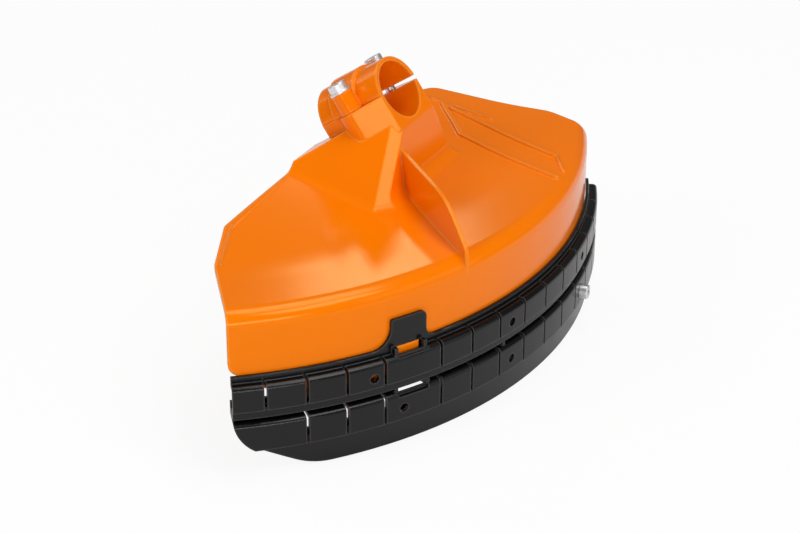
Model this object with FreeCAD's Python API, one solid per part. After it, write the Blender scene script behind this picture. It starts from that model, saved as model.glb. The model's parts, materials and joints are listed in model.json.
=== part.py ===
import FreeCAD, Part
import math
import os

# Blade guard of a brush cutter: a moulded shell with a split shaft clamp, a clip-on slotted skirt
# along its outer wall, and a small blade in the skirt that trims the cutting line to length.
# It is laid out about the cutter's spin axis, with height zero at the foot of the skirt's upper face,
# -Y towards the operator, and angles turned from -Y towards +X. The finished pieces are then moved
# so that the middle of the clamp's bore is the origin.

# Clearances
SEAT_CLEARANCE = 0.3
SCREW_CLEARANCE = 0.3
NUT_CLEARANCE = 0.15

# Shaft and clamp, in the shaft's own directions: along it, across it, and square to its top
CUTTER_OFFSET = 108.3
SHAFT_TILT = 35.0
BORE_DIAMETER = 28.0
COLLAR_LENGTH = 38.0
COLLAR_WALL = 2.2
CLAMP_GAP = 2.2
CHEEK_RISE = 2.4
SADDLE_SPAN = (-10.5, 5.0)
SADDLE_RISE = 1.6
CLAMP_SCREW_SPACING = 36.0
CLAMP_SCREW_ALONG = 1.5
CLAMP_SEAT_HEIGHT = 12.6
CLAMP_BOSS_DIAMETER = 9.8
CLAMP_BOSS_FLARE = 0.6
NUT_BOSS_DIAMETER = 13.0
NUT_BOSS_DEPTH = 40.0
NUT_SEAT_DEPTH = 9.0

# Clamp fasteners
SCREW_DIAMETER = 5.0
SCREW_LENGTH = 28.0
SCREW_HEAD_DIAMETER = 9.0
SCREW_HEAD_HEIGHT = 3.8
SCREW_SOCKET = 4.0
SCREW_SOCKET_DEPTH = 2.4
WASHER_DIAMETER = 10.4
WASHER_THICKNESS = 1.0
NUT_ACROSS_FLATS = 8.0
NUT_HEIGHT = 4.0

# Shell: roof, bend and wall
FACE_RADIUS = 210.0
WALL_INSET = 6.3
SHELL_WALL = 2.7
ROOF_HEIGHT = 45.0
ROOF_SLOPE = 5.0
ROOF_BREAK = 38.0
ROOF_BREAK_RADIUS = 250.0
BEND_RADIUS = 7.0
SWEEP_MARGIN = 20.0
SHELL_LEFT = -52.2
SHELL_RIGHT = 25.3
BACK_EDGE = 84.7
BACK_EDGE_SKEW = 2.8
LEFT_CORNER_X = -96.0
LEFT_SHOULDER_RADIUS = 159.0
RIGHT_CORNER_X = 66.0
RIGHT_EDGE_START = (88.7, 98.0)
RIGHT_EDGE_END = (95.0, 160.0)
RIGHT_EDGE_RADIUS = 20.0
OUTLINE_RADIUS = 7.0
WALL_CORNER_WIDTH = 31.0
WALL_CORNER_HEIGHT = 20.0
WALL_CORNER_RADIUS = 5.0

# Pedestal that carries the clamp, and the fin and beads that stiffen the roof
PEDESTAL_TOP = 11.7
PEDESTAL_BACK_TOP = 4.0
PEDESTAL_LIP = 16.2
PEDESTAL_LEFT_REACH = 49.5
PEDESTAL_FRONT = 140.0
PEDESTAL_RIGHT_REACH = 24.0
PEDESTAL_FACET = 2.7
PEDESTAL_WALL = 3.0
PEDESTAL_FILLET = 8.0
FIN_WALL = 1.8
FIN_START = (-20.0, -135.5)
FIN_END_ANGLE = -19.3
FIN_ROOT = 6.0
FIN_START_HEIGHT = 66.2
FIN_SHOULDER = (50.0, 64.2, 40.0)
FIN_NOSE_HEIGHT = 49.0
FIN_NOSE_RADIUS = 6.0
FIN_FOOT_HEIGHT = 37.0
BEAD_HEIGHT = 1.1
BEAD_WIDTH = 2.6
BEAD_CORNERS = ((26.0, -194.0), (44.0, -135.0), (71.0, -112.0), (47.5, -184.0))
RIDGE_ENDS = ((74.0, -104.0), (70.0, -139.0))
RIDGE_WIDTH = 1.4
RIM_BEAD_INSET = 2.6
RIM_BEAD_HEIGHT = 0.6
RIM_BEAD_END_X = -24.0

# Skirt section
SKIRT_LEFT = -52.0
SKIRT_RIGHT = 25.7
SKIRT_WALL = 1.9
UPPER_FACE_HEIGHT = 12.4
SHOULDER_RADIUS = 2.4
LIP_RISE = 3.2
LIP_WALL = 1.6
SILL_INSET = 1.5
SILL_DEPTH = 4.2
GROOVE_HEIGHT = 1.8
LOWER_FACE_HEIGHT = 13.9
STUB_RISE = 2.9
HEM_STEP = 0.8
HEM_DEPTH = 12.5
HEM_LEAN = 1.7
HEM_START = 12.1
HEM_CORNER_WIDTH = 35.0
HEM_CORNER_RADIUS = 35.0
LOWER_CORNER_WIDTH = 9.3
LOWER_CORNER_RISE = 6.2
LOWER_CORNER_RADIUS = 20.0
END_MARGIN = 0.2

# Slots, latch, holes and posts of the skirt
SLOT_WIDTH = 1.2
FIRST_SLOT = -48.04
SLOT_PITCH = 5.04
SLOT_COUNT = 14
SLOTS_BEFORE_LATCH = 4
LATCH_PITCHES = 1.614
TAB_RISE = 13.4
TAB_MARGIN = 1.5
TAB_CORNER_RADII = (1.2, 3.0)
TAB_FLARES = (10.0, 5.0)
TAB_SEAT_MARGIN = 5.0
WINDOW_MARGIN = 1.9
WINDOW_LEDGE = 1.2
UPPER_NOTCH = 0.9
LOWER_LEDGE_DROP = 0.8
LOWER_NOTCH = 2.15
POST_WIDTH = 1.8
POST_OVERLAP = 0.3
HOLE_DIAMETER = 4.3
UPPER_HOLES = (-34.4, -12.3, 8.0)
LOWER_HOLES = (-30.3, -12.3)
CUTTER_ANGLE = 8.0
RIB_POSTS = (-13.4,)
NUB_REACH = 1.9
NUB_MARGIN = 0.3

# Line cutter and its fasteners
CUTTER_THICKNESS = 1.6
CUTTER_HEIGHT = 8.4
CUTTER_FOOT = 15.0
CUTTER_REACH = 30.0
CUTTER_BEVEL = 1.2
CUTTER_SCREW_DIAMETER = 4.0
CUTTER_HEAD_DIAMETER = 7.0
CUTTER_HEAD_HEIGHT = 4.0
CUTTER_SOCKET = 3.0
CUTTER_SOCKET_DEPTH = 2.2
CUTTER_NUT_ACROSS_FLATS = 7.0
CUTTER_NUT_HEIGHT = 3.2

# Sizes that follow from the ones above
FAR = 400.0
BORE_RADIUS = BORE_DIAMETER / 2
COLLAR_RADIUS = BORE_RADIUS + COLLAR_WALL
BORE_HEIGHT = CUTTER_OFFSET * math.tan(math.radians(SHAFT_TILT))
WALL_RADIUS = FACE_RADIUS - WALL_INSET
WALL_INNER = WALL_RADIUS - SHELL_WALL
ROOF_BREAK_AT = WALL_RADIUS - ROOF_BREAK
LIP_INNER = WALL_RADIUS + SEAT_CLEARANCE
LIP_OUTER = LIP_INNER + LIP_WALL
STUB_OUTER = WALL_INNER - SEAT_CLEARANCE
STUB_INNER = STUB_OUTER - SKIRT_WALL
SILL_FLOOR = SKIRT_WALL - SILL_DEPTH
WALL_FOOT = SILL_FLOOR
LIP_TOP = UPPER_FACE_HEIGHT + LIP_RISE
LOWER_TOP = -SILL_DEPTH - GROOVE_HEIGHT
LOWER_FOOT = LOWER_TOP - LOWER_FACE_HEIGHT
HEM_FOOT = LOWER_FOOT - HEM_DEPTH
SILL_EDGE = FACE_RADIUS - SILL_INSET
HOLE_HEIGHT = (UPPER_FACE_HEIGHT - SHOULDER_RADIUS) / 2
LOWER_HOLE_HEIGHT = (LOWER_TOP - SHOULDER_RADIUS + LOWER_FOOT) / 2
LATCH_LEFT = FIRST_SLOT + (SLOTS_BEFORE_LATCH - 1) * SLOT_PITCH
LATCH_RIGHT = LATCH_LEFT + LATCH_PITCHES * SLOT_PITCH
LATCH_MIDDLE = (LATCH_LEFT + LATCH_RIGHT) / 2
POST_SWEEP = math.degrees(POST_WIDTH / FACE_RADIUS)
WINDOW_LEFT = LATCH_LEFT + WINDOW_MARGIN
WINDOW_RIGHT = LATCH_RIGHT - WINDOW_MARGIN
FACE_INNER = FACE_RADIUS - SKIRT_WALL
LEDGE_INNER = FACE_INNER - WINDOW_LEDGE

ORIGIN = FreeCAD.Vector(0, 0, 0)
UP = FreeCAD.Vector(0, 0, 1)
ALONG = FreeCAD.Vector(0, -math.cos(math.radians(SHAFT_TILT)), math.sin(math.radians(SHAFT_TILT)))
ACROSS = FreeCAD.Vector(1, 0, 0)
ABOVE = FreeCAD.Vector(0, math.sin(math.radians(SHAFT_TILT)), math.cos(math.radians(SHAFT_TILT)))
CLAMP_CENTRE = FreeCAD.Vector(0, -CUTTER_OFFSET, BORE_HEIGHT)


def polar(angle, radius, height=0.0):
    """Point at an angle turned from -Y towards +X."""
    turn = math.radians(angle)
    return FreeCAD.Vector(radius * math.sin(turn), -radius * math.cos(turn), height)


def in_plan(u, v):
    return FreeCAD.Vector(u, v, 0)


def in_section(u, v):
    return FreeCAD.Vector(u, 0, v)


def rounded_face(corners, place):
    """Flat face through (u, v) or (u, v, radius) corners, each radius rounding its corner."""
    points = [place(corner[0], corner[1]) for corner in corners]
    radii = [corner[2] if len(corner) > 2 else 0.0 for corner in corners]
    starts, ends, arcs = [], [], []
    for index, (point, radius) in enumerate(zip(points, radii)):
        back = (points[index - 1] - point).normalize()
        ahead = (points[(index + 1) % len(points)] - point).normalize()
        half = back.getAngle(ahead) / 2
        if radius == 0.0:
            starts.append(point)
            ends.append(point)
            arcs.append(None)
            continue
        reach = radius / math.tan(half)
        inward = (back + ahead).normalize()
        middle = point + inward * (radius / math.sin(half) - radius)
        starts.append(point + back * reach)
        ends.append(point + ahead * reach)
        arcs.append(Part.Arc(starts[-1], middle, ends[-1]).toShape())
    edges = []
    for index, arc in enumerate(arcs):
        if arc:
            edges.append(arc)
        following = starts[(index + 1) % len(points)]
        if (following - ends[index]).Length > 1e-6:
            edges.append(Part.LineSegment(ends[index], following).toShape())
    return Part.Face(Part.Wire(edges))


def swept(face, left, right):
    """Section face turned about the spin axis from one angle to another."""
    section = face.copy()
    section.rotate(ORIGIN, UP, left - 90)
    return section.revolve(ORIGIN, UP, right - left)


def sector(inner, outer, foot, top, left, right):
    """Curved block between two radii, heights and angles."""
    corners = ((inner, foot), (outer, foot), (outer, top), (inner, top))
    return swept(rounded_face(corners, in_section), left, right)


def radial_box(angle, width, inner, outer, foot, top):
    """Straight block along the radius at an angle."""
    box = Part.makeBox(outer - inner, width, top - foot, FreeCAD.Vector(inner, -width / 2, foot))
    box.rotate(ORIGIN, UP, angle - 90)
    return box


def upright(corners, foot, top):
    """Plan outline raised from one height to another."""
    face = rounded_face(corners, in_plan)
    face.translate(UP * foot)
    return face.extrude(UP * (top - foot))


def tangent_plate(angle, corners, inner, outer):
    """Outline in the (sideways, height) plane at an angle, as thick as the gap between two radii."""
    face = rounded_face(corners, in_section)
    plate = face.extrude(FreeCAD.Vector(0, -(outer - inner), 0))
    plate.translate(FreeCAD.Vector(0, -inner, 0))
    plate.rotate(ORIGIN, UP, angle)
    return plate


def on_clamp(along, across, above):
    """Point given in the shaft's own directions from the middle of the bore."""
    return CLAMP_CENTRE + ALONG * along + ACROSS * across + ABOVE * above


def clamp_box(along, across, above):
    """Block between pairs of values in the shaft's own directions."""
    box = Part.makeBox(across[1] - across[0], along[1] - along[0], above[1] - above[0],
                       FreeCAD.Vector(across[0], -along[1], above[0]))
    box.rotate(ORIGIN, ACROSS, -SHAFT_TILT)
    box.translate(CLAMP_CENTRE)
    return box


def clamp_round(radius, start, end):
    """Cylinder about the shaft."""
    return Part.makeCylinder(radius, end - start, on_clamp(start, 0, 0), ALONG)


def clamp_post(radius, across, start, end):
    """Cylinder square to the shaft, on the line of the clamp's screws."""
    return Part.makeCylinder(radius, end - start, on_clamp(CLAMP_SCREW_ALONG, across, start), ABOVE)


def hexagon(across_flats, base, axis, height):
    """Hexagonal prism that starts at a base point and runs along an axis."""
    corner = across_flats / math.sqrt(3)
    turns = [math.radians(60 * k) for k in range(6)]
    points = [FreeCAD.Vector(corner * math.cos(turn), corner * math.sin(turn), 0) for turn in turns]
    prism = Part.Face(Part.makePolygon(points + points[:1])).extrude(UP * height)
    prism.Placement = FreeCAD.Placement(base, FreeCAD.Rotation(UP, axis))
    return prism


def cut_beyond(shape, point, normal):
    """Shape with everything on the outer side of a plane taken away."""
    slab = Part.makeBox(2 * FAR, 2 * FAR, FAR, FreeCAD.Vector(-FAR, -FAR, 0))
    slab.Placement = FreeCAD.Placement(point, FreeCAD.Rotation(UP, normal))
    return shape.cut(slab)


def roof_height(x, y):
    """Height of the roof's outer surface inside its bend."""
    inward = max(0.0, ROOF_BREAK_AT - math.hypot(x, y))
    return ROOF_HEIGHT + inward * math.tan(math.radians(ROOF_SLOPE))


def roof_section(top_offset, bottom_offset):
    """Corners of the roof, bend and wall between two offsets from their outer surface."""
    inner_start = BACK_EDGE / 2
    rise = roof_height(inner_start, 0)

    def skin(offset):
        return [(inner_start, rise + offset),
                (ROOF_BREAK_AT, ROOF_HEIGHT + offset, ROOF_BREAK_RADIUS),
                (WALL_RADIUS + offset, ROOF_HEIGHT + offset, BEND_RADIUS + offset),
                (WALL_RADIUS + offset, WALL_FOOT)]

    return skin(top_offset) + skin(bottom_offset)[::-1]


def back_edge(x):
    """Y of the shell's back edge, which runs a little askew."""
    share = (x - LEFT_CORNER_X) / (RIGHT_CORNER_X - LEFT_CORNER_X)
    return -BACK_EDGE - BACK_EDGE_SKEW * share


def outline_corners(inset=0.0):
    """Plan outline of the shell, left side first, closed well outside the wall."""
    left = math.radians(SHELL_LEFT)
    along_left = FreeCAD.Vector(math.sin(left), -math.cos(left), 0)
    inward = FreeCAD.Vector(-along_left.y, along_left.x, 0) * inset
    shoulder = along_left * LEFT_SHOULDER_RADIUS + inward
    outer = along_left * FAR + inward
    right_wall = polar(SHELL_RIGHT, WALL_RADIUS)
    return [(outer.x, outer.y),
            (shoulder.x, shoulder.y, OUTLINE_RADIUS),
            (LEFT_CORNER_X + inset, back_edge(LEFT_CORNER_X) - inset, OUTLINE_RADIUS),
            (RIGHT_CORNER_X, back_edge(RIGHT_CORNER_X) - inset, OUTLINE_RADIUS),
            (RIGHT_EDGE_START[0] - inset, -RIGHT_EDGE_START[1], OUTLINE_RADIUS),
            (RIGHT_EDGE_END[0] - inset, -RIGHT_EDGE_END[1], RIGHT_EDGE_RADIUS),
            (right_wall.x - inset, right_wall.y),
            (right_wall.x, -FAR)]


def around_shell(corners):
    """Section corners turned about the spin axis well past both ends of the shell."""
    return swept(rounded_face(corners, in_section), SHELL_LEFT - SWEEP_MARGIN, SHELL_RIGHT + 2 * SWEEP_MARGIN)


def inside_outline(shape):
    """Shape trimmed to the shell's plan outline."""
    return shape.common(upright(outline_corners(), WALL_FOOT - 1, ROOF_HEIGHT * 2))


def sheet():
    """Roof, bend and wall, trimmed to the plan outline."""
    return inside_outline(around_shell(roof_section(0.0, -SHELL_WALL)))


def below_roof():
    """Everything under the roof and inside the wall."""
    skin = roof_section(-SHELL_WALL, -SHELL_WALL)[:4]
    return around_shell(skin + [(skin[0][0], WALL_FOOT)])


def raised(plan, height):
    """Plan shape lifted out of the roof by a height."""
    return around_shell(roof_section(height, -SHELL_WALL / 2)).common(plan)


def strip(start, end, width):
    """Upright block along a line in plan, rounded at both ends."""
    line = FreeCAD.Vector(end[0] - start[0], end[1] - start[1], 0)
    turn = math.degrees(math.atan2(line.y, line.x))
    body = Part.makeBox(line.Length, width, ROOF_HEIGHT * 2, FreeCAD.Vector(0, -width / 2, 0))
    body.rotate(ORIGIN, UP, turn)
    body.translate(FreeCAD.Vector(start[0], start[1], 0))
    caps = [Part.makeCylinder(width / 2, ROOF_HEIGHT * 2, FreeCAD.Vector(x, y, 0)) for x, y in (start, end)]
    return body.fuse(caps)


def wall_corner(angle, side):
    """Waste outside the rounded lower corner at one end of the wall; side is 1 on the left, -1 right."""
    top = WALL_FOOT + WALL_CORNER_HEIGHT
    kept = [(0, FAR), (0, top, WALL_CORNER_RADIUS), (side * WALL_CORNER_WIDTH, WALL_FOOT, WALL_CORNER_RADIUS),
            (side * FAR, WALL_FOOT), (side * FAR, FAR)]
    waste = [(-side * WALL_CORNER_WIDTH, WALL_FOOT - 1), (side * 3 * WALL_CORNER_WIDTH, WALL_FOOT - 1),
             (side * 3 * WALL_CORNER_WIDTH, top + WALL_CORNER_RADIUS),
             (-side * WALL_CORNER_WIDTH, top + WALL_CORNER_RADIUS)]
    reach = (WALL_INNER - 3 * SHELL_WALL, FACE_RADIUS)
    return tangent_plate(angle, waste, *reach).cut(tangent_plate(angle, kept, *reach))


def gusset_corner():
    """Along and across of the point where a flat side of the fixed half leaves its nut boss."""
    radius = NUT_BOSS_DIAMETER / 2
    reach = FreeCAD.Vector(COLLAR_LENGTH / 2 - CLAMP_SCREW_ALONG, COLLAR_RADIUS - CLAMP_SCREW_SPACING / 2, 0)
    turn = math.acos(radius / reach.Length) + math.atan2(reach.y, reach.x)
    return (CLAMP_SCREW_ALONG + radius * math.cos(turn), CLAMP_SCREW_SPACING / 2 + radius * math.sin(turn))


def pedestal(inset):
    """Wedge from the clamp down to the roof, with every side moved in by an inset."""
    half = COLLAR_LENGTH / 2
    along, across = gusset_corner()
    top_front = on_clamp(half, -COLLAR_RADIUS, -PEDESTAL_TOP)
    top_back = on_clamp(along, -across, -PEDESTAL_TOP)
    foot = FreeCAD.Vector(-PEDESTAL_LEFT_REACH, -PEDESTAL_FRONT,
                          roof_height(PEDESTAL_LEFT_REACH, PEDESTAL_FRONT))
    left_normal = (top_back - top_front).cross(foot - top_front).normalize()
    front_normal = ACROSS.cross(on_clamp(half, -PEDESTAL_LEFT_REACH, -PEDESTAL_LIP) - foot).normalize()
    facet_normal = (left_normal + front_normal).normalize()
    right_foot = FreeCAD.Vector(PEDESTAL_RIGHT_REACH, foot.y, foot.z)
    right_top, right_back = (FreeCAD.Vector(-point.x, point.y, point.z) for point in (top_front, top_back))
    right_normal = (right_foot - right_top).cross(right_back - right_top).normalize()
    body = Part.makeBox(4 * PEDESTAL_LEFT_REACH, PEDESTAL_FRONT, 2 * ROOF_HEIGHT,
                        FreeCAD.Vector(-2 * PEDESTAL_LEFT_REACH, -PEDESTAL_FRONT - PEDESTAL_FILLET, 0))
    for point, normal, depth in ((foot, left_normal, inset), (foot, front_normal, inset),
                                 (foot, facet_normal, PEDESTAL_FACET + inset),
                                 (right_foot, right_normal, inset)):
        body = cut_beyond(body, point - normal * depth, normal)
    body = cut_beyond(body, on_clamp(half, 0, 0), ALONG)
    body = cut_beyond(body, on_clamp(0, 0, -PEDESTAL_LIP if inset else -PEDESTAL_BACK_TOP), ABOVE)
    if not inset:
        return body
    return cut_beyond(body, FreeCAD.Vector(0, back_edge(0) - inset, 0), FreeCAD.Vector(0, 1, 0))


def pedestal_foot(body):
    """Edges along which the pedestal stands on the roof."""
    edges = []
    for edge in body.Edges:
        points = [edge.valueAt(edge.FirstParameter + (edge.LastParameter - edge.FirstParameter) * share)
                  for share in (0.25, 0.5, 0.75)]
        on_roof = all(abs(point.z - roof_height(point.x, point.y)) < SEAT_CLEARANCE for point in points)
        inside = all(point.y < back_edge(point.x) - SHELL_WALL for point in points)
        near = all(LEFT_CORNER_X / 2 - SHELL_WALL < point.x < RIGHT_CORNER_X
                   and point.y > -PEDESTAL_FRONT - SHELL_WALL for point in points)
        if on_roof and inside and near:
            edges.append(edge)
    return edges


def fin():
    """Thin gusset from the pedestal's front across the roof, with a round nose over the bend."""
    start = FreeCAD.Vector(FIN_START[0], FIN_START[1], 0)
    run = polar(FIN_END_ANGLE, WALL_RADIUS) - start
    corners = [(-FIN_ROOT, FIN_FOOT_HEIGHT), (-FIN_ROOT, FIN_START_HEIGHT), FIN_SHOULDER,
               (run.Length, FIN_NOSE_HEIGHT, FIN_NOSE_RADIUS), (run.Length, FIN_FOOT_HEIGHT)]
    plate = rounded_face(corners, in_section).extrude(FreeCAD.Vector(0, FIN_WALL, 0))
    plate.translate(FreeCAD.Vector(0, -FIN_WALL / 2, 0))
    plate.rotate(ORIGIN, UP, math.degrees(math.atan2(run.y, run.x)))
    plate.translate(start)
    return plate


def roof_beads():
    """Raised loop and ridge on the right of the roof, and the bead inside the left rim."""
    loop = [strip(a, b, BEAD_WIDTH) for a, b in zip(BEAD_CORNERS, BEAD_CORNERS[1:])]
    beads = [raised(piece, BEAD_HEIGHT) for piece in loop]
    beads.append(raised(strip(RIDGE_ENDS[0], RIDGE_ENDS[1], RIDGE_WIDTH), BEAD_HEIGHT))
    rim = outline_corners(RIM_BEAD_INSET)
    shoulder, corner = rim[1][:2], rim[2][:2]
    back_end = (RIM_BEAD_END_X, corner[1])
    for start, end in ((shoulder, corner), (corner, back_end)):
        beads.append(raised(strip(start, end, RIDGE_WIDTH), RIM_BEAD_HEIGHT))
    return beads


def screw_sides():
    return ((-1, "left"), (1, "right"))


def gusset(side, top):
    """Flat-sided web of the fixed half from the collar's front edge to its nut boss."""
    along, across = gusset_corner()
    corners = ((COLLAR_LENGTH / 2, 0), (COLLAR_LENGTH / 2, COLLAR_RADIUS), (along, across),
               (CLAMP_SCREW_ALONG, CLAMP_SCREW_SPACING / 2), (CLAMP_SCREW_ALONG, 0))
    points = [on_clamp(a, side * x, -PEDESTAL_LIP) for a, x in corners]
    return Part.Face(Part.makePolygon(points + points[:1])).extrude(ABOVE * (PEDESTAL_LIP + top))


def lower_clamp():
    """Fixed half of the clamp, with a raised cheek on the left and a boss for each nut."""
    half = COLLAR_LENGTH / 2
    body = clamp_box((-half, half), (-COLLAR_RADIUS, COLLAR_RADIUS), (-PEDESTAL_LIP, -CLAMP_GAP / 2))
    body = body.fuse(clamp_box((-half, half), (-COLLAR_RADIUS, -BORE_RADIUS / 2), (-CLAMP_GAP, CHEEK_RISE)))
    for side, _ in screw_sides():
        top = CHEEK_RISE if side < 0 else -CLAMP_GAP / 2
        body = body.fuse(gusset(side, top))
        across = side * CLAMP_SCREW_SPACING / 2
        body = body.fuse(clamp_post(NUT_BOSS_DIAMETER / 2, across, -NUT_BOSS_DEPTH, top))
    return body


def guard_shell():
    """Moulded shell with the fixed half of the clamp, its pedestal, fin and beads in one piece."""
    hollow = below_roof()
    body = sheet()
    for corner in (wall_corner(SHELL_LEFT, 1), wall_corner(SHELL_RIGHT, -1)):
        body = body.cut(corner)
    body = body.fuse(inside_outline(pedestal(0.0)).cut(hollow))
    body = body.makeFillet(PEDESTAL_FILLET, pedestal_foot(body))
    for piece in roof_beads() + [fin().cut(hollow)]:
        body = body.fuse(piece)
    body = body.cut(pedestal(PEDESTAL_WALL))
    body = body.fuse(lower_clamp().cut(hollow))
    nub = sector(WALL_RADIUS - SHELL_WALL / 2, WALL_RADIUS + NUB_REACH, UPPER_FACE_HEIGHT - SKIRT_WALL,
                 LIP_TOP - SEAT_CLEARANCE, WINDOW_LEFT + NUB_MARGIN, WINDOW_RIGHT - POST_SWEEP - NUB_MARGIN)
    body = body.fuse(nub)
    waste = [clamp_round(BORE_RADIUS, -COLLAR_LENGTH / 2 - 1, COLLAR_LENGTH),
             clamp_round(BORE_RADIUS + COLLAR_WALL / 2, -CUTTER_OFFSET, -COLLAR_LENGTH / 2)]
    for side, _ in screw_sides():
        across = side * CLAMP_SCREW_SPACING / 2
        waste.append(clamp_post(SCREW_DIAMETER / 2 + SCREW_CLEARANCE, across, -COLLAR_LENGTH, COLLAR_LENGTH))
        seat = on_clamp(CLAMP_SCREW_ALONG, across, -NUT_SEAT_DEPTH)
        waste.append(hexagon(NUT_ACROSS_FLATS + 2 * NUT_CLEARANCE, seat, ABOVE * -1, NUT_BOSS_DEPTH))
    for piece in waste:
        body = body.cut(piece)
    return body


def clamp_cap():
    """Loose upper half of the clamp, thicker in the middle where the two screws pull it down."""
    half = COLLAR_LENGTH / 2
    ring = clamp_round(COLLAR_RADIUS, -half, half)
    saddle = clamp_round(COLLAR_RADIUS + SADDLE_RISE, *SADDLE_SPAN)
    bosses = []
    for side, _ in screw_sides():
        base = on_clamp(CLAMP_SCREW_ALONG, side * CLAMP_SCREW_SPACING / 2, 0)
        bosses.append(Part.makeCone(CLAMP_BOSS_DIAMETER / 2 + CLAMP_BOSS_FLARE, CLAMP_BOSS_DIAMETER / 2,
                                    CLAMP_SEAT_HEIGHT, base, ABOVE))
    body = ring.fuse([saddle] + bosses)
    waste = [clamp_round(BORE_RADIUS, -COLLAR_LENGTH, COLLAR_LENGTH),
             clamp_box((-FAR, FAR), (-FAR, 0), (-FAR, CHEEK_RISE)),
             clamp_box((-FAR, FAR), (0, FAR), (-FAR, CLAMP_GAP / 2))]
    for side, _ in screw_sides():
        waste.append(clamp_post(SCREW_DIAMETER / 2 + SCREW_CLEARANCE, side * CLAMP_SCREW_SPACING / 2,
                                -COLLAR_LENGTH, COLLAR_LENGTH))
    return body.cut(waste).removeSplitter()


def socket_screw(base, axis, length, diameter, head_diameter, head_height, socket, socket_depth):
    """Screw whose head stands on a base point; the shank runs against the axis."""
    shank = Part.makeCylinder(diameter / 2, length, base - axis * length, axis)
    head = Part.makeCylinder(head_diameter / 2, head_height, base, axis)
    rim = [edge for edge in head.Edges if (edge.CenterOfMass - base).Length > head_height / 2 and edge.Closed]
    head = head.makeChamfer(head_height / 10, rim)
    recess = hexagon(socket, base + axis * (head_height - socket_depth), axis, head_height)
    return head.cut(recess).fuse(shank).removeSplitter()


def clamp_screw(side):
    base = on_clamp(CLAMP_SCREW_ALONG, side * CLAMP_SCREW_SPACING / 2, CLAMP_SEAT_HEIGHT + WASHER_THICKNESS)
    return socket_screw(base, ABOVE, SCREW_LENGTH, SCREW_DIAMETER, SCREW_HEAD_DIAMETER, SCREW_HEAD_HEIGHT,
                        SCREW_SOCKET, SCREW_SOCKET_DEPTH)


def clamp_washer(side):
    across = side * CLAMP_SCREW_SPACING / 2
    top = CLAMP_SEAT_HEIGHT + WASHER_THICKNESS
    disc = clamp_post(WASHER_DIAMETER / 2, across, CLAMP_SEAT_HEIGHT, top)
    return disc.cut(clamp_post(SCREW_DIAMETER / 2 + SCREW_CLEARANCE / 2, across, 0, 2 * top))


def threaded_nut(across_flats, base, axis, height, diameter):
    """Hexagon nut with its bore at the screw's own size."""
    return hexagon(across_flats, base, axis, height).cut(
        Part.makeCylinder(diameter / 2, 3 * height, base - axis * height, axis))


def clamp_nut(side):
    base = on_clamp(CLAMP_SCREW_ALONG, side * CLAMP_SCREW_SPACING / 2, -NUT_SEAT_DEPTH)
    return threaded_nut(NUT_ACROSS_FLATS, base, ABOVE * -1, NUT_HEIGHT, SCREW_DIAMETER)


def slot_angles():
    """Angles of all slots, with the wider latch block between two of them."""
    extra = (LATCH_PITCHES - 1) * SLOT_PITCH
    return [FIRST_SLOT + n * SLOT_PITCH + (extra if n >= SLOTS_BEFORE_LATCH else 0.0)
            for n in range(SLOT_COUNT)]


def skirt_section():
    """Two slotted channels, one above the other, with a plain hem below."""
    wall = FACE_RADIUS - SKIRT_WALL
    hem_top = FACE_RADIUS - HEM_STEP
    return [(LIP_INNER, LIP_TOP), (LIP_OUTER, LIP_TOP, LIP_WALL / 3), (LIP_OUTER, UPPER_FACE_HEIGHT),
            (FACE_RADIUS, UPPER_FACE_HEIGHT, SHOULDER_RADIUS), (FACE_RADIUS, 0),
            (SILL_EDGE, 0), (SILL_EDGE, -SILL_DEPTH), (STUB_OUTER, -SILL_DEPTH),
            (STUB_OUTER, LOWER_TOP), (FACE_RADIUS, LOWER_TOP, SHOULDER_RADIUS), (FACE_RADIUS, LOWER_FOOT),
            (hem_top, LOWER_FOOT), (hem_top - HEM_LEAN, HEM_FOOT),
            (hem_top - HEM_LEAN - SKIRT_WALL, HEM_FOOT),
            (hem_top - SKIRT_WALL, LOWER_FOOT - SKIRT_WALL), (STUB_INNER, LOWER_FOOT - SKIRT_WALL),
            (STUB_INNER, LOWER_FOOT + STUB_RISE / 2), (STUB_OUTER, LOWER_FOOT + STUB_RISE / 2),
            (STUB_OUTER, LOWER_FOOT), (wall, LOWER_FOOT),
            (wall, LOWER_TOP - SKIRT_WALL), (STUB_INNER, LOWER_TOP - SKIRT_WALL),
            (STUB_INNER, SILL_FLOOR + STUB_RISE), (STUB_OUTER, SILL_FLOOR + STUB_RISE),
            (STUB_OUTER, SILL_FLOOR),
            (SILL_EDGE - SKIRT_WALL, SILL_FLOOR), (SILL_EDGE - SKIRT_WALL, SKIRT_WALL), (wall, SKIRT_WALL),
            (wall, UPPER_FACE_HEIGHT - SKIRT_WALL), (LIP_INNER, UPPER_FACE_HEIGHT - SKIRT_WALL)]


def latch_tab():
    """Upright tongue over the wall, flaring into the lip at both sides."""
    half = math.radians(LATCH_RIGHT - LATCH_LEFT - 2 * TAB_MARGIN) / 2 * LIP_OUTER
    foot = LIP_TOP
    top = foot + TAB_RISE
    left = -half - TAB_FLARES[0]
    right = half + TAB_FLARES[1]
    corners = [(left, foot - LIP_RISE / 2), (left, foot), (-half, foot, TAB_FLARES[0] * 0.95),
               (-half, top, TAB_CORNER_RADII[0]), (half, top, TAB_CORNER_RADII[1]),
               (half, foot, TAB_FLARES[1] * 0.95), (right, foot), (right, foot - LIP_RISE / 2)]
    plate = tangent_plate(LATCH_MIDDLE, corners, LIP_INNER - 2 * LIP_WALL, LIP_OUTER + 2 * LIP_WALL)
    return plate.common(sector(LIP_INNER, LIP_OUTER, foot - LIP_RISE, top + 1,
                               LATCH_LEFT - TAB_SEAT_MARGIN, LATCH_RIGHT + TAB_SEAT_MARGIN))


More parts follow.
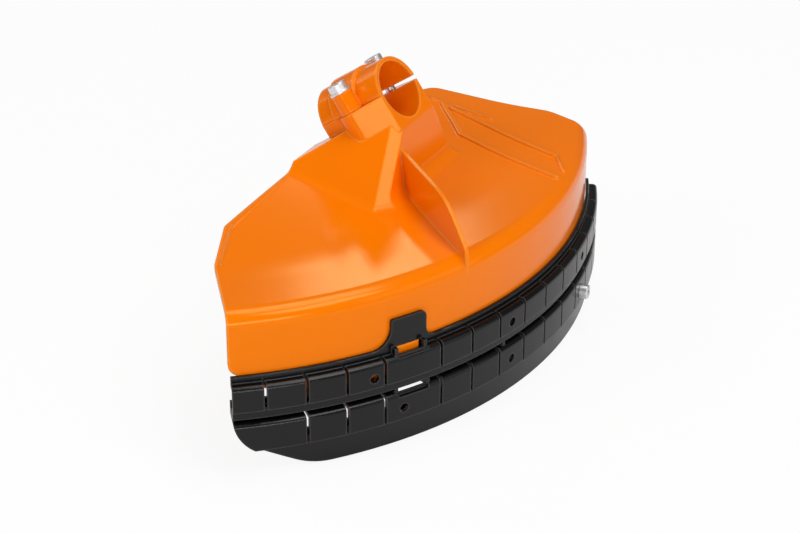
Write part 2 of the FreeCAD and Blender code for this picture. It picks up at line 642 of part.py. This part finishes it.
def end_corner(angle, side):
    """Waste outside the rounded lower corner of the skirt at one end; side is 1 on the left, -1 right."""
    end = -side * END_MARGIN
    kept = [(end, FAR), (end, LOWER_FOOT + LOWER_CORNER_RISE, LOWER_CORNER_RADIUS),
            (side * LOWER_CORNER_WIDTH, LOWER_FOOT),
            (side * HEM_START, LOWER_FOOT), (side * HEM_CORNER_WIDTH, HEM_FOOT, HEM_CORNER_RADIUS),
            (side * FAR, HEM_FOOT), (side * FAR, FAR)]
    waste = [(-side * HEM_CORNER_WIDTH, HEM_FOOT - 1), (side * 2 * HEM_CORNER_WIDTH, HEM_FOOT - 1),
             (side * 2 * HEM_CORNER_WIDTH, SKIRT_WALL), (-side * HEM_CORNER_WIDTH, SKIRT_WALL)]
    reach = (STUB_INNER - 4 * SKIRT_WALL, FACE_RADIUS + SKIRT_WALL)
    return tangent_plate(angle, waste, *reach).cut(tangent_plate(angle, kept, *reach))


def latch_windows():
    """Waste at the latch: the lip's window over the nub, and the stepped openings of both shelves."""
    window = (WINDOW_LEFT, WINDOW_RIGHT)
    return [sector(LIP_INNER - 1, LEDGE_INNER, UPPER_FACE_HEIGHT - 2 * SKIRT_WALL, LIP_TOP,
                   WINDOW_LEFT, WINDOW_RIGHT - POST_SWEEP),
            sector(FACE_INNER, FACE_RADIUS + 1, UPPER_FACE_HEIGHT - UPPER_NOTCH, LIP_TOP, *window),
            sector(STUB_INNER - 1, LEDGE_INNER, LOWER_TOP - 2 * SKIRT_WALL, -SILL_DEPTH, *window),
            sector(LEDGE_INNER - SEAT_CLEARANCE, FACE_INNER, LOWER_TOP - LOWER_LEDGE_DROP,
                   -SILL_DEPTH, *window),
            sector(FACE_INNER - SEAT_CLEARANCE, FACE_RADIUS + 1, LOWER_TOP - LOWER_NOTCH,
                   -SILL_DEPTH, *window)]


def skirt():
    """Flexible black skirt that clips on the shell's wall."""
    body = swept(rounded_face(skirt_section(), in_section), SKIRT_LEFT, SKIRT_RIGHT)
    body = body.fuse(latch_tab())
    body = body.fuse(sector(LEDGE_INNER, FACE_INNER + SKIRT_WALL / 4, LOWER_TOP - 3 * SKIRT_WALL,
                            LOWER_TOP - SKIRT_WALL / 2, WINDOW_LEFT - POST_SWEEP, WINDOW_RIGHT + POST_SWEEP))
    for waste in latch_windows():
        body = body.cut(waste)
    upper = [radial_box(angle, SLOT_WIDTH, LIP_OUTER, FACE_RADIUS + 1, 0, LIP_TOP) for angle in slot_angles()]
    lower = [radial_box(angle, SLOT_WIDTH, STUB_OUTER + SKIRT_WALL, FACE_RADIUS + 1,
                        LOWER_FOOT, LOWER_TOP + GROOVE_HEIGHT / 2) for angle in slot_angles()[1:]]
    spots = [(angle, HOLE_HEIGHT) for angle in UPPER_HOLES]
    spots += [(angle, LOWER_HOLE_HEIGHT) for angle in LOWER_HOLES + (CUTTER_ANGLE,)]
    holes = [Part.makeCylinder(HOLE_DIAMETER / 2, 3 * SKIRT_WALL,
                               polar(angle, FACE_RADIUS - 2 * SKIRT_WALL, height), polar(angle, 1))
             for angle, height in spots]
    corners = [end_corner(SKIRT_LEFT, 1), end_corner(SKIRT_RIGHT, -1)]
    for waste in (upper, lower, holes, corners):
        body = body.cut(waste)
    overlap = POST_SWEEP * POST_OVERLAP
    for angle in RIB_POSTS + (WINDOW_LEFT - overlap, WINDOW_RIGHT + overlap):
        body = body.fuse(radial_box(angle, POST_WIDTH, STUB_OUTER - SKIRT_WALL / 2, SILL_EDGE - HEM_STEP / 8,
                                    LOWER_TOP - SKIRT_WALL / 2, -SILL_DEPTH + SKIRT_WALL / 2))
    for angle in (WINDOW_LEFT - overlap, WINDOW_RIGHT - POST_SWEEP + overlap):
        body = body.fuse(radial_box(angle, POST_WIDTH, LIP_OUTER - LIP_WALL / 2, FACE_INNER + SKIRT_WALL / 4,
                                    UPPER_FACE_HEIGHT - SHOULDER_RADIUS / 2, LIP_TOP + SEAT_CLEARANCE))
    return body


def cutter_frame():
    """Seat of the line cutter inside the lower face: radius of its flat outer side, and its height."""
    sagitta = (CUTTER_FOOT / 2) ** 2 / (2 * (FACE_RADIUS - SKIRT_WALL))
    return FACE_RADIUS - SKIRT_WALL - sagitta - 0.02, LOWER_HOLE_HEIGHT


def line_cutter():
    """Bent steel blade: a foot behind the skirt's face and an edge that reaches inwards."""
    seat, height = cutter_frame()
    foot = height - CUTTER_HEIGHT / 2
    top = height + CUTTER_HEIGHT / 2
    plan = [(-CUTTER_FOOT / 2, -seat), (CUTTER_FOOT / 2, -seat), (CUTTER_FOOT / 2, -seat + CUTTER_REACH),
            (CUTTER_FOOT / 2 - CUTTER_THICKNESS, -seat + CUTTER_REACH),
            (CUTTER_FOOT / 2 - CUTTER_THICKNESS, -seat + CUTTER_THICKNESS, CUTTER_THICKNESS),
            (-CUTTER_FOOT / 2, -seat + CUTTER_THICKNESS)]
    blade = upright(plan, foot, top)
    bevel = rounded_face([(CUTTER_FOOT / 2 - CUTTER_THICKNESS, top - 3 * CUTTER_BEVEL),
                          (CUTTER_FOOT / 2 - CUTTER_THICKNESS, top + 1),
                          (CUTTER_FOOT / 2 - CUTTER_THICKNESS + CUTTER_BEVEL, top + 1),
                          (CUTTER_FOOT / 2 - CUTTER_THICKNESS + CUTTER_BEVEL, top)], in_section)
    ground = bevel.extrude(FreeCAD.Vector(0, CUTTER_REACH, 0))
    ground.translate(FreeCAD.Vector(0, -seat + 4 * CUTTER_THICKNESS, 0))
    hole = Part.makeCylinder(HOLE_DIAMETER / 2, 4 * CUTTER_THICKNESS,
                             FreeCAD.Vector(0, -seat - CUTTER_THICKNESS, height), FreeCAD.Vector(0, 1, 0))
    blade = blade.cut([ground, hole])
    blade.rotate(ORIGIN, UP, CUTTER_ANGLE)
    return blade


def cutter_screw():
    seat, height = cutter_frame()
    grip = FACE_RADIUS - seat + CUTTER_THICKNESS + CUTTER_NUT_HEIGHT
    return socket_screw(polar(CUTTER_ANGLE, FACE_RADIUS, height), polar(CUTTER_ANGLE, 1),
                        grip + CUTTER_SCREW_DIAMETER / 2, CUTTER_SCREW_DIAMETER, CUTTER_HEAD_DIAMETER,
                        CUTTER_HEAD_HEIGHT, CUTTER_SOCKET, CUTTER_SOCKET_DEPTH)


def cutter_nut():
    seat, height = cutter_frame()
    base = polar(CUTTER_ANGLE, seat - CUTTER_THICKNESS, height)
    return threaded_nut(CUTTER_NUT_ACROSS_FLATS, base, polar(CUTTER_ANGLE, -1), CUTTER_NUT_HEIGHT,
                        CUTTER_SCREW_DIAMETER)


def build():
    """All pieces by node name, still about the spin axis."""
    pieces = {"guard_shell": guard_shell(), "clamp_cap": clamp_cap(), "skirt": skirt(),
              "line_cutter": line_cutter(), "cutter_screw": cutter_screw(), "cutter_nut": cutter_nut()}
    for side, name in screw_sides():
        pieces["clamp_screw_" + name] = clamp_screw(side)
        pieces["clamp_washer_" + name] = clamp_washer(side)
        pieces["clamp_nut_" + name] = clamp_nut(side)
    return pieces


os.makedirs("parts", exist_ok=True)
for name, shape in build().items():
    shape.translate(CLAMP_CENTRE * -1)
    print(name, "solids", len(shape.Solids), "valid", shape.isValid(), "volume", round(shape.Volume, 1))
    shape.exportStep("parts/" + name + ".step")
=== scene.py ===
"""Looks of a brush cutter's blade guard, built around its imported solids."""

from __future__ import annotations

import json
import logging
import math
from dataclasses import dataclass
from enum import Enum
from typing import Any, Union

import bpy
from mathutils import Matrix, Vector


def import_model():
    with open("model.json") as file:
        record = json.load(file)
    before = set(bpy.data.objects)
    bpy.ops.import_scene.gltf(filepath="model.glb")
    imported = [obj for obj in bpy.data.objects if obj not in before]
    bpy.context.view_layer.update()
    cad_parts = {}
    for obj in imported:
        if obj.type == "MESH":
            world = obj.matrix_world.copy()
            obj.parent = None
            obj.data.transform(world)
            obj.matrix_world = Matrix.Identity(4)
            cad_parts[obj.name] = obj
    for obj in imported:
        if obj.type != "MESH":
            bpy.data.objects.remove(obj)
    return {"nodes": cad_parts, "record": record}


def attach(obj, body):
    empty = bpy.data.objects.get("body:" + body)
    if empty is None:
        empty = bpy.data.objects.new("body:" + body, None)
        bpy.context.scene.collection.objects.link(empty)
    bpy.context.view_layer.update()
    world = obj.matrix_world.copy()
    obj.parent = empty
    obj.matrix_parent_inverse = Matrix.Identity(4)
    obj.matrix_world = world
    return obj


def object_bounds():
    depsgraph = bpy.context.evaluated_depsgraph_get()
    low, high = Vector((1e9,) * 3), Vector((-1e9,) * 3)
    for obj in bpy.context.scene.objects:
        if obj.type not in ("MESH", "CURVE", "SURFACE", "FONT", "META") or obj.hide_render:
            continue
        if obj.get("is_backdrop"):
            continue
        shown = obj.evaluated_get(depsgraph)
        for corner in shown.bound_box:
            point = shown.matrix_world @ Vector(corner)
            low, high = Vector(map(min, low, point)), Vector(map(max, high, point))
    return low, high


logging.basicConfig(level=logging.INFO, format="%(message)s")
log = logging.getLogger("blade_guard")

Number = Union[int, float]
Colour = tuple[float, float, float]
Point = tuple[float, float, float]
Span = tuple[float, float]

MM = 0.001
WHITE: Colour = (1.0, 1.0, 1.0)
BEVEL_SAMPLES = 6
NOISE_MIDDLE = 0.5

# Sockets of a Mix node that mixes colours
MIX_FACTOR, MIX_FIRST, MIX_SECOND = 0, 6, 7
MIX_RESULT = 2


class Slot(Enum):
    """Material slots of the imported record."""

    SHELL = "shell"
    SKIRT = "skirt"
    STEEL = "steel"
    BLADE = "blade"


class Value:
    """One output socket that takes part in Python expressions."""

    def __init__(self, graph: "Graph", socket: bpy.types.NodeSocket) -> None:
        """Keep the socket and the graph it belongs to."""
        self.graph = graph
        self.socket = socket

    def __add__(self, other: "Operand") -> "Value":
        """Sum of two values."""
        return self.graph.math("ADD", self, other)

    def __radd__(self, other: Number) -> "Value":
        """Sum with a plain number on the left."""
        return self.graph.math("ADD", other, self)

    def __sub__(self, other: "Operand") -> "Value":
        """Difference of two values."""
        return self.graph.math("SUBTRACT", self, other)

    def __rsub__(self, other: Number) -> "Value":
        """Difference from a plain number."""
        return self.graph.math("SUBTRACT", other, self)

    def __mul__(self, other: "Operand") -> "Value":
        """Product of two values."""
        return self.graph.math("MULTIPLY", self, other)

    def __rmul__(self, other: Number) -> "Value":
        """Product with a plain number on the left."""
        return self.graph.math("MULTIPLY", other, self)


Operand = Union[Value, Number]


class Graph:
    """Node tree of one material, with its output node."""

    def __init__(self, name: str) -> None:
        """Start an empty material.

        Args:
            name: Name of the material.
        """
        self.material = bpy.data.materials.new(name)
        self.material.use_nodes = True
        self.tree = self.material.node_tree
        self.tree.nodes.clear()
        self.output = self.tree.nodes.new("ShaderNodeOutputMaterial")

    def node(self, kind: str, settings: dict[str, Any] | None = None,
             inputs: dict[Any, Any] | None = None) -> bpy.types.Node:
        """Make one node.

        Args:
            kind: Node type without its ShaderNode prefix.
            settings: Attributes of the node, set first; "stops" fills a colour ramp.
            inputs: Values or links of its sockets, by name or place.

        Returns:
            The new node.
        """
        made = self.tree.nodes.new("ShaderNode" + kind)
        for key, setting in (settings or {}).items():
            if key == "stops":
                for element, (place, level) in zip(made.color_ramp.elements, setting):
                    element.position = place
                    element.color = (level, level, level, 1.0)
            else:
                setattr(made, key, setting)
        for key, value in (inputs or {}).items():
            self.feed(made.inputs[key], value)
        return made

    def feed(self, socket: bpy.types.NodeSocket, value: Any) -> None:
        """Link a value to a socket, or set a plain number, vector or colour on it.

        Args:
            socket: Input socket.
            value: Value, output socket, number, vector or colour.
        """
        if isinstance(value, Value):
            self.tree.links.new(value.socket, socket)
        elif isinstance(value, bpy.types.NodeSocket):
            self.tree.links.new(value, socket)
        elif socket.type == "RGBA":
            socket.default_value = (*value, 1.0)
        else:
            socket.default_value = value

    def math(self, operation: str, left: Operand, right: Operand) -> Value:
        """Math node on two operands."""
        made = self.node("Math", {"operation": operation}, {0: left, 1: right})
        return Value(self, made.outputs[0])

    def place(self) -> Value:
        """Object coordinates of the surface."""
        return Value(self, self.node("TexCoord").outputs["Object"])

    def stretched(self, scale: Point) -> Value:
        """Object coordinates scaled apart along the three axes."""
        made = self.node("Mapping", None, {"Vector": self.place(), "Scale": scale})
        return Value(self, made.outputs[0])

    def noise(self, per_metre: float, detail: float, rough: float = 0.5, at: Value | None = None) -> Value:
        """Noise from 0 to 1.

        Args:
            per_metre: Features in a metre.
            detail: Octaves of finer noise.
            rough: Share of each finer octave.
            at: Coordinates, or the object's own if left out.

        Returns:
            The noise.
        """
        inputs = {"Vector": at or self.place(), "Scale": per_metre, "Detail": detail, "Roughness": rough}
        return Value(self, self.node("TexNoise", None, inputs).outputs[0])

    def ramp(self, value: Value, span: Span) -> Value:
        """Ramp from 0 at the start of a span of the value to 1 at its end."""
        stops = ((span[0], 0.0), (span[1], 1.0))
        return Value(self, self.node("ValToRGB", {"stops": stops}, {0: value}).outputs[0])

    def rounded(self, radius: float) -> bpy.types.NodeSocket:
        """Normal with the edges rounded by a radius in metres."""
        return self.node("Bevel", {"samples": BEVEL_SAMPLES}, {"Radius": radius}).outputs[0]

    def edges(self, reach: float, span: Span) -> Value:
        """Mask that is 1 along sharp edges and 0 on open faces.

        Args:
            reach: Reach of the mask from an edge, in metres.
            span: Bend of the normal where the mask starts and where it is full.

        Returns:
            The mask.
        """
        soft = self.rounded(reach)
        hard = self.node("NewGeometry").outputs["Normal"]
        dot = self.node("VectorMath", {"operation": "DOT_PRODUCT"}, {0: soft, 1: hard})
        return self.ramp(1.0 - Value(self, dot.outputs["Value"]), span)

    def blend(self, factor: Operand, first: Any, second: Any) -> Value:
        """Mix of two colours.

        Args:
            factor: Share of the second colour.
            first: First colour.
            second: Second colour.

        Returns:
            The mixed colour.
        """
        inputs = {MIX_FACTOR: factor, MIX_FIRST: first, MIX_SECOND: second}
        made = self.node("Mix", {"data_type": "RGBA", "clamp_factor": True}, inputs)
        return Value(self, made.outputs[MIX_RESULT])

    def bump(self, height: Value, depth: float, edge_radius: float) -> Value:
        """Normal with a fine relief over rounded edges.

        Args:
            height: Relief from 0 to 1.
            depth: Depth of the relief, in metres.
            edge_radius: Radius of the edges, in metres.

        Returns:
            The normal.
        """
        inputs = {"Height": height, "Distance": depth, "Strength": 1.0, "Normal": self.rounded(edge_radius)}
        return Value(self, self.node("Bump", None, inputs).outputs[0])

    def close(self, shader: bpy.types.Node) -> bpy.types.Material:
        """End the tree with a shader."""
        self.tree.links.new(shader.outputs[0], self.output.inputs[0])
        return self.material


@dataclass(frozen=True)
class MouldedPlastic:
    """Injection-moulded plastic with mottling, mould grain, faint scuffs, and edges lightened by a painted
    highlight that is partly edge wear.
    """

    name: str
    colour: Colour
    mottle_colour: Colour
    # Lighter colour towards the edges: a painted highlight along edges, partly edge wear.
    edge_wear_and_highlight_colour: Colour
    roughness: float
    roughness_spread: float
    grain_per_metre: float
    grain_depth: float
    edge_radius: float
    edge_wear_and_highlight_share: float
    specular_tint: Colour
    specular: float = 0.3
    broad_per_metre: float = 16.0
    broad_share: float = 0.55
    flow_per_metre: float = 9.0
    flow_stretch: Point = (1.0, 4.0, 9.0)
    flow_share: float = 0.45
    scuffs_per_metre: float = 55.0
    scuff_span: Span = (0.56, 0.72)
    scuff_share: float = 0.8
    edge_reach: float = 2.0
    edge_span: Span = (0.015, 0.16)
    wear_and_sheen_per_metre: float = 120.0
    wear_and_sheen_least: float = 0.6
    wear_and_sheen_spread: float = 0.5

    def material(self) -> bpy.types.Material:
        """Build the finish.

        Returns:
            The material.
        """
        graph = Graph(self.name)
        lines = graph.stretched(self.flow_stretch)
        broad = graph.noise(self.broad_per_metre, detail=3.0)
        flow = graph.noise(self.flow_per_metre, detail=2.0, rough=0.6, at=lines)
        grain = graph.noise(self.grain_per_metre, detail=3.0, rough=0.6)
        scuffs = graph.ramp(graph.noise(self.scuffs_per_metre, detail=8.0, rough=0.75), self.scuff_span)
        # Patchiness of the lightened edges, both uneven wear and an uneven painted highlight.
        wear_and_sheen_patches = graph.noise(self.wear_and_sheen_per_metre, detail=4.0) * self.wear_and_sheen_spread + self.wear_and_sheen_least
        # Mask of the edges lightened towards the edge colour: a painted highlight along edges, partly edge
        # wear.
        edge_wear_and_highlight = graph.edges(self.edge_radius * self.edge_reach, self.edge_span) * wear_and_sheen_patches
        mottle = broad * self.broad_share + flow * self.flow_share
        base = graph.blend(mottle, self.colour, self.mottle_colour)
        scuffed = scuffs * (self.roughness_spread * self.scuff_share)
        uneven = (broad - NOISE_MIDDLE) * self.roughness_spread + scuffed
        return graph.close(graph.node("BsdfPrincipled", None, {
            "Base Color": graph.blend(edge_wear_and_highlight * self.edge_wear_and_highlight_share, base, self.edge_wear_and_highlight_colour),
            "Roughness": self.roughness + uneven,
            "Normal": graph.bump(grain, self.grain_depth, self.edge_radius),
            "Specular IOR Level": self.specular,
            "Specular Tint": self.specular_tint}))


@dataclass(frozen=True)
class PlatedSteel:
    """Bright steel with fine tool marks, dull patches and worn edges."""

    name: str
    colour: Colour
    dull_colour: Colour
    roughness: float
    marks_per_metre: float
    marks_stretch: Point
    marks_depth: float
    edge_radius: float
    marks_rough: float = 0.1
    patches_per_metre: float = 320.0
    patch_span: Span = (0.42, 0.7)
    patch_rough: float = 0.14
    edge_reach: float = 2.0
    edge_span: Span = (0.02, 0.2)
    edge_polish: float = 0.06

    def material(self) -> bpy.types.Material:
        """Build the finish.

        Returns:
            The material.
        """
        graph = Graph(self.name)
        lines = graph.stretched(self.marks_stretch)
        marks = graph.noise(self.marks_per_metre, detail=4.0, rough=0.6, at=lines)
        patches = graph.ramp(graph.noise(self.patches_per_metre, detail=4.0, rough=0.65), self.patch_span)
        bright = graph.edges(self.edge_radius * self.edge_reach, self.edge_span)
        rough = self.roughness + marks * self.marks_rough + patches * self.patch_rough
        return graph.close(graph.node("BsdfPrincipled", None, {
            "Base Color": graph.blend(patches * (1.0 - bright), self.colour, self.dull_colour),
            "Roughness": rough - bright * self.edge_polish,
            "Metallic": 1.0,
            "Normal": graph.bump(marks, self.marks_depth, self.edge_radius)}))


# Both plastics lighten their edges towards a lighter edge colour: a painted highlight along edges, partly
# edge wear.
ORANGE = MouldedPlastic(
    name="orange_gloss", colour=(0.87, 0.175, 0.0), mottle_colour=(0.89, 0.19, 0.0),
    edge_wear_and_highlight_colour=(1.0, 0.34, 0.04), roughness=0.14, roughness_spread=0.05, grain_per_metre=900.0,
    grain_depth=0.01 * MM, edge_radius=1.2 * MM, edge_wear_and_highlight_share=0.75, specular_tint=(1.0, 0.93, 0.34))
BLACK = MouldedPlastic(
    name="black_satin", colour=(0.002, 0.002, 0.0021), mottle_colour=(0.005, 0.005, 0.0052),
    edge_wear_and_highlight_colour=(0.1, 0.1, 0.1), roughness=0.22, roughness_spread=0.08, grain_per_metre=1500.0,
    grain_depth=0.02 * MM, edge_radius=0.7 * MM, edge_wear_and_highlight_share=0.5, specular_tint=WHITE)
ZINC = PlatedSteel(
    name="zinc_steel", colour=(0.82, 0.82, 0.83), dull_colour=(0.72, 0.72, 0.73), roughness=0.34,
    marks_per_metre=900.0, marks_stretch=(1.0, 1.0, 5.0), marks_depth=0.005 * MM, edge_radius=0.3 * MM)
GROUND = PlatedSteel(
    name="ground_steel", colour=(0.62, 0.62, 0.64), dull_colour=(0.42, 0.42, 0.44), roughness=0.26,
    marks_per_metre=700.0, marks_stretch=(9.0, 1.0, 1.0), marks_depth=0.03 * MM, edge_radius=0.2 * MM)
FINISHES = {Slot.SHELL: ORANGE, Slot.SKIRT: BLACK, Slot.STEEL: ZINC, Slot.BLADE: GROUND}


@dataclass
class Dressing:
    """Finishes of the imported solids, by the slot that each node takes in the record."""

    nodes: dict[str, bpy.types.Object]
    record: dict[str, Any]

    def dress(self) -> dict[Slot, bpy.types.Material]:
        """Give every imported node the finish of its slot.

        Returns:
            The material of each slot.
        """
        made = {slot: finish.material() for slot, finish in FINISHES.items()}
        for part in self.record["subparts"]:
            node = self.nodes[part["node"]]
            node.data.materials.clear()
            node.data.materials.append(made[Slot(part["material_slot"])])
            log.info("%s is finished as %s", part["node"], part["material_slot"])
        return made


@dataclass
class Bead:
    """Round-ended bead moulded on the roof."""

    name: str
    start: Point
    end: Point
    roof_normal: Point
    width: float
    height: float
    sunk: float = 0.3 * MM
    segments: int = 24
    rings: int = 11

    def ball(self, length: float) -> bpy.types.Object:
        """Draw a ball out to the bead's length.

        Args:
            length: Length between the centres of the two ends, in metres.

        Returns:
            The drawn-out ball, along +Z from the origin.
        """
        bpy.ops.object.select_all(action="DESELECT")
        bpy.ops.mesh.primitive_uv_sphere_add(
            segments=self.segments, ring_count=self.rings, radius=self.width / 2.0)
        bead = bpy.context.object
        bead.name = self.name
        bpy.ops.object.mode_set(mode="EDIT")
        bpy.ops.mesh.select_all(action="DESELECT")
        bpy.ops.object.mode_set(mode="OBJECT")
        for vertex in bead.data.vertices:
            vertex.select = vertex.co.z > 0.0
        bpy.ops.object.mode_set(mode="EDIT")
        bpy.ops.transform.translate(value=(0.0, 0.0, length))
        bpy.ops.object.mode_set(mode="OBJECT")
        return bead

    def model(self) -> bpy.types.Object:
        """Flatten the drawn-out ball and set it on the roof.

        Returns:
            The bead.
        """
        run = Vector(self.end) - Vector(self.start)
        bead = self.ball(run.length)
        along = run.normalized()
        across = Vector(self.roof_normal).cross(along).normalized()
        above = along.cross(across)
        turn = Matrix((across, above, along)).transposed().to_4x4()
        flat = Matrix.Diagonal((1.0, (self.height + self.sunk) / (self.width / 2.0), 1.0, 1.0))
        bead.matrix_world = Matrix.Translation(Vector(self.start) - above * self.sunk) @ turn @ flat
        bpy.ops.object.transform_apply(location=True, rotation=True, scale=True)
        bpy.ops.object.shade_smooth()
        return bead

    def build(self, finish: bpy.types.Material) -> None:
        """Model the bead and give it the shell's finish.

        Args:
            finish: Material of the shell.
        """
        bead = self.model()
        bead.data.materials.append(finish)
        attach(bead, "root")
        log.info("%s is %d faces", bead.name, len(bead.data.polygons))


# Bead beside the back edge, left of the pedestal, and the turned end of the loop on the right
BEADS = (
    Bead("rim_bead", (-0.0955, 0.0197, -0.02772), (-0.0445, 0.0209, -0.02488), (-0.054, -0.067, 0.996),
         width=1.6 * MM, height=0.55 * MM),
    Bead("loop_end_bead", (0.0468, -0.077, -0.03083), (0.0342, -0.0857, -0.03086), (0.0, 0.0, 1.0),
         width=2.4 * MM, height=0.9 * MM))


@dataclass(frozen=True)
class Softbox:
    """Rectangular lamp with an even face, in metres and watts."""

    name: str
    place: Point
    size: Span
    power: float
    aim: Point = (-0.02, -0.03, -0.05)
    colour: Colour = WHITE

    def build(self) -> None:
        """Hang the lamp and turn it to what it lights."""
        data = bpy.data.lights.new(self.name, "AREA")
        data.shape = "RECTANGLE"
        data.size, data.size_y = self.size
        data.energy = self.power
        data.color = self.colour
        lamp = bpy.data.objects.new(self.name, data)
        lamp.location = self.place
        lamp.rotation_euler = (Vector(self.aim) - Vector(self.place)).to_track_quat("-Z", "Y").to_euler()
        bpy.context.scene.collection.objects.link(lamp)


SOFTBOXES = (
    Softbox("left_strip", (-1.46, -1.1, 0.29), (1.4, 0.32), 11.2),
    Softbox("front_softbox", (-0.26, -0.98, 1.32), (0.75, 0.6), 8.7),
    Softbox("low_softbox", (0.1, -1.75, 0.5), (1.2, 0.8), 2.6),
    Softbox("top_softbox", (0.3, -0.2, 1.75), (1.1, 0.8), 13.4),
    Softbox("side_softbox", (-1.3, 0.9, 0.95), (0.8, 0.8), 10.0),
    Softbox("rear_softbox", (0.6, 1.7, 1.0), (1.4, 0.8), 6.0),
    Softbox("back_softbox", (2.01, 1.03, 1.277), (0.29, 0.24), 1.05,
            aim=(-0.08, -0.06, -0.03), colour=(1.0, 0.93, 0.55)))


@dataclass
class Studio:
    """Pale floor, soft lamps and the camera of the photograph."""

    eye: Point = (-0.85588, -0.45387, 0.43129)
    azimuth: float = -62.918
    elevation: float = 28.174
    roll: float = 0.305
    lens: float = 100.553
    sensor_width: float = 36.0
    clip_end: float = 50.0
    floor_size: float = 24.0
    floor_gap: float = 0.5 * MM
    paper_colour: Colour = (0.86, 0.86, 0.86)
    paper_white: float = 0.9
    mirror_white: float = 0.2
    world_strength: float = 0.14

    def camera(self) -> None:
        """Place the camera."""
        data = bpy.data.cameras.new("camera")
        data.lens = self.lens
        data.sensor_width = self.sensor_width
        data.clip_end = self.clip_end
        camera = bpy.data.objects.new("camera", data)
        turn = Matrix.Rotation(math.radians(self.azimuth), 4, "Z")
        tilt = Matrix.Rotation(math.radians(90.0 - self.elevation), 4, "X")
        spin = Matrix.Rotation(math.radians(self.roll), 4, "Z")
        camera.matrix_world = Matrix.Translation(Vector(self.eye)) @ turn @ tilt @ spin
        bpy.context.scene.collection.objects.link(camera)
        bpy.context.scene.camera = camera

    def paper(self) -> bpy.types.Material:
        """Paper that is white to the camera and pale in reflections, and keeps the object's shadow.

        Returns:
            The material.
        """
        graph = Graph("studio_floor")
        paths = graph.node("LightPath").outputs
        seen = Value(graph, paths["Is Camera Ray"])
        mirrored = Value(graph, paths["Is Glossy Ray"]) + Value(graph, paths["Is Transmission Ray"])
        share = seen * self.paper_white + mirrored * self.mirror_white
        plain = graph.node("BsdfDiffuse", None, {"Color": self.paper_colour})
        white = graph.node("Emission", None, {"Color": WHITE, "Strength": 1.0})
        shaders = {0: share, 1: plain.outputs[0], 2: white.outputs[0]}
        return graph.close(graph.node("MixShader", None, shaders))

    def floor(self, height: float) -> None:
        """Lay the floor.

        Args:
            height: Height of the floor, in metres.
        """
        bpy.ops.object.select_all(action="DESELECT")
        bpy.ops.mesh.primitive_plane_add(size=self.floor_size, location=(0.0, 0.0, height))
        plane = bpy.context.object
        plane.name = "studio_floor"
        plane.data.materials.append(self.paper())
        plane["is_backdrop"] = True

    def world(self) -> None:
        """Light the surroundings evenly."""
        world = bpy.data.worlds.new("studio")
        world.use_nodes = True
        shade = world.node_tree.nodes["Background"]
        shade.inputs["Color"].default_value = (*WHITE, 1.0)
        shade.inputs["Strength"].default_value = self.world_strength
        bpy.context.scene.world = world

    def build(self, lowest: float) -> None:
        """Set the whole studio up.

        Args:
            lowest: Lowest point of the object, in metres.
        """
        self.camera()
        for softbox in SOFTBOXES:
            softbox.build()
        self.floor(lowest - self.floor_gap)
        self.world()
        bpy.context.scene.view_settings.view_transform = "Standard"


def numbers(corners: tuple[Vector, Vector]) -> list[list[float]]:
    """Two corners of a box as plain lists."""
    return [[float(part) for part in corner] for corner in corners]


def main() -> None:
    """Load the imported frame, dress it, add the beads and set the studio around it."""
    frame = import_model()
    cad_box = numbers(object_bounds())
    finishes = Dressing(frame["nodes"], frame["record"]).dress()
    for bead in BEADS:
        bead.build(finishes[Slot.SHELL])
    Studio().build(cad_box[0][2])


if __name__ == "__main__":
    main()
